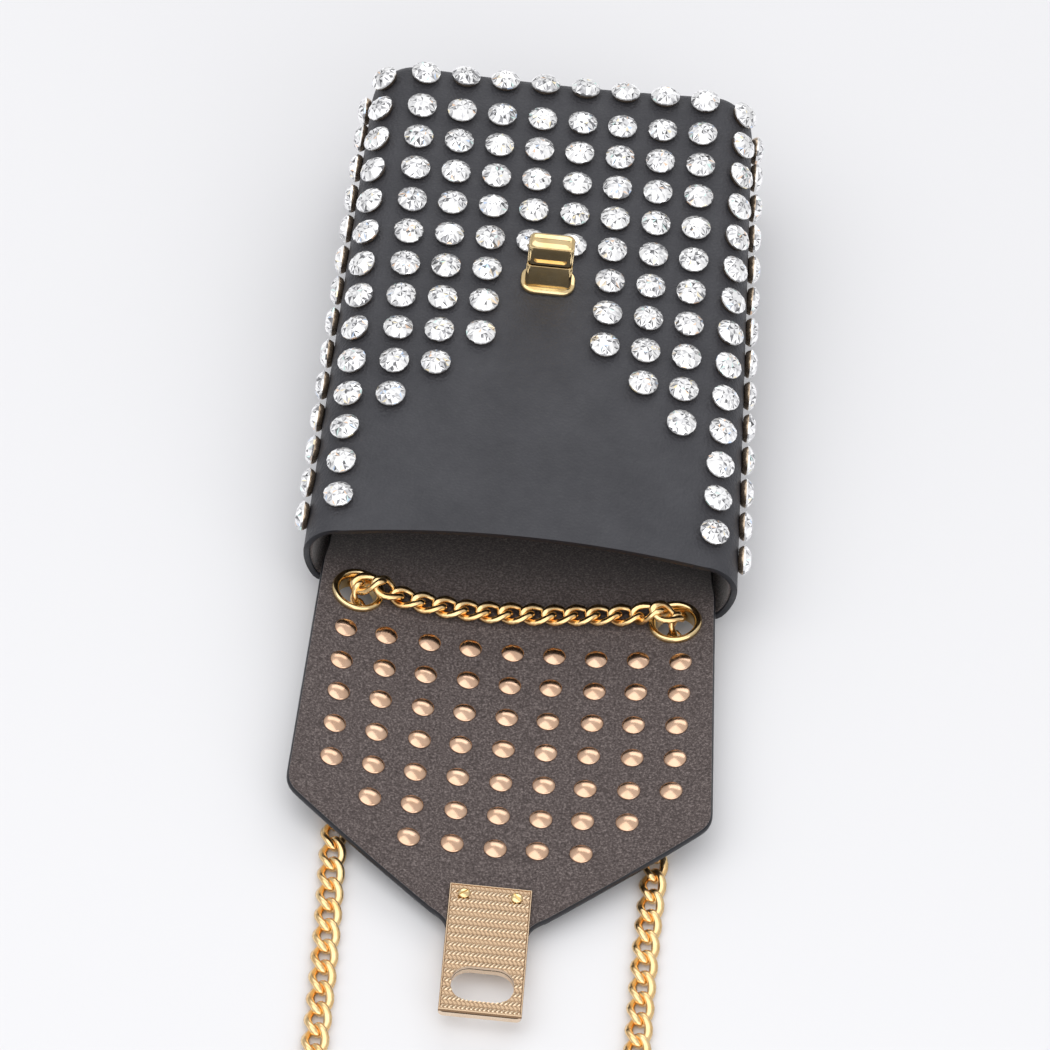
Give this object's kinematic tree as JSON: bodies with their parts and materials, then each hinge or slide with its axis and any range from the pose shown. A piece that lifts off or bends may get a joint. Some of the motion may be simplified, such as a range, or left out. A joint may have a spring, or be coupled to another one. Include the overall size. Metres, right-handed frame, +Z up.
{
  "type": "chain wallet",
  "caption": "Studded fold-over phone wallet on a chain strap, lying open, with a hinged flap and a turn lock.",
  "frame": {"origin": "on the back panel's outer flat face, on the centre line, where the wallet rests on a table", "axes": "+X across the wallet, +Y from the flap towards the base, +Z up out of the table"},
  "size_m": [0.1194, 0.449, 0.0608],
  "materials": {
    "leather": "charcoal imitation leather with a fine grain",
    "lining": "warm grey brown suede lining",
    "board": "stiffening board",
    "gold": "polished yellow gold plate",
    "champagne_gold": "embossed pale gold plate",
    "steel": "plain steel",
    "chain_gold": "warm gold anodised curb chain"
  },
  "bodies": {
    "root": {"front_shell": "leather", "shell_lining": "lining", "back_panel": "leather", "back_board": "board", "back_lining": "lining", "base_board": "board", "lock_base": "gold", "lock_washer": "steel"},
    "turn_knob": {"turn_knob": "gold", "knob_clip": "steel"},
    "fold": {"fold_leather": "leather", "fold_lining": "lining", "eyelet_left": "gold", "eyelet_right": "gold", "eyelet_washer_left": "gold", "eyelet_washer_right": "gold", "chain_cross": "chain_gold"},
    "flap": {"flap_leather": "leather", "flap_lining": "lining", "flap_board": "board", "lock_plate": "champagne_gold", "lock_frame": "champagne_gold", "plate_screw_left": "champagne_gold", "plate_screw_right": "champagne_gold"},
    "strap": {"chain_left": "chain_gold", "chain_right": "chain_gold", "chain_coil": "chain_gold"}
  },
  "joints": [
    {"name": "fold_back", "type": "hinge", "parent": "root", "child": "fold", "pos_m": [0, -0.08, 0.007], "axis": [-1, 0, 0], "range_deg": [0, 60.03]},
    {"name": "fold_front", "type": "hinge", "parent": "fold", "child": "flap", "pos_m": [0, -0.11478, 0.007], "axis": [-1, 0, 0], "range_deg": [0, 115.58]},
    {"name": "strap_swing", "type": "hinge", "parent": "fold", "child": "strap", "pos_m": [0, -0.088, 0.0044], "axis": [-1, 0, 0], "range_deg": [-60.04, 0]},
    {"name": "knob_turn", "type": "hinge", "parent": "root", "child": "turn_knob", "pos_m": [0, 0.006, 0.04163], "axis": [0, -0.0762, 0.9971], "range_deg": [0, 90]}
  ],
  "couplings": [
    {"joint": "fold_front", "follows": "fold_back", "ratio": 1.9253},
    {"joint": "strap_swing", "follows": "fold_back", "ratio": -1}
  ]
}
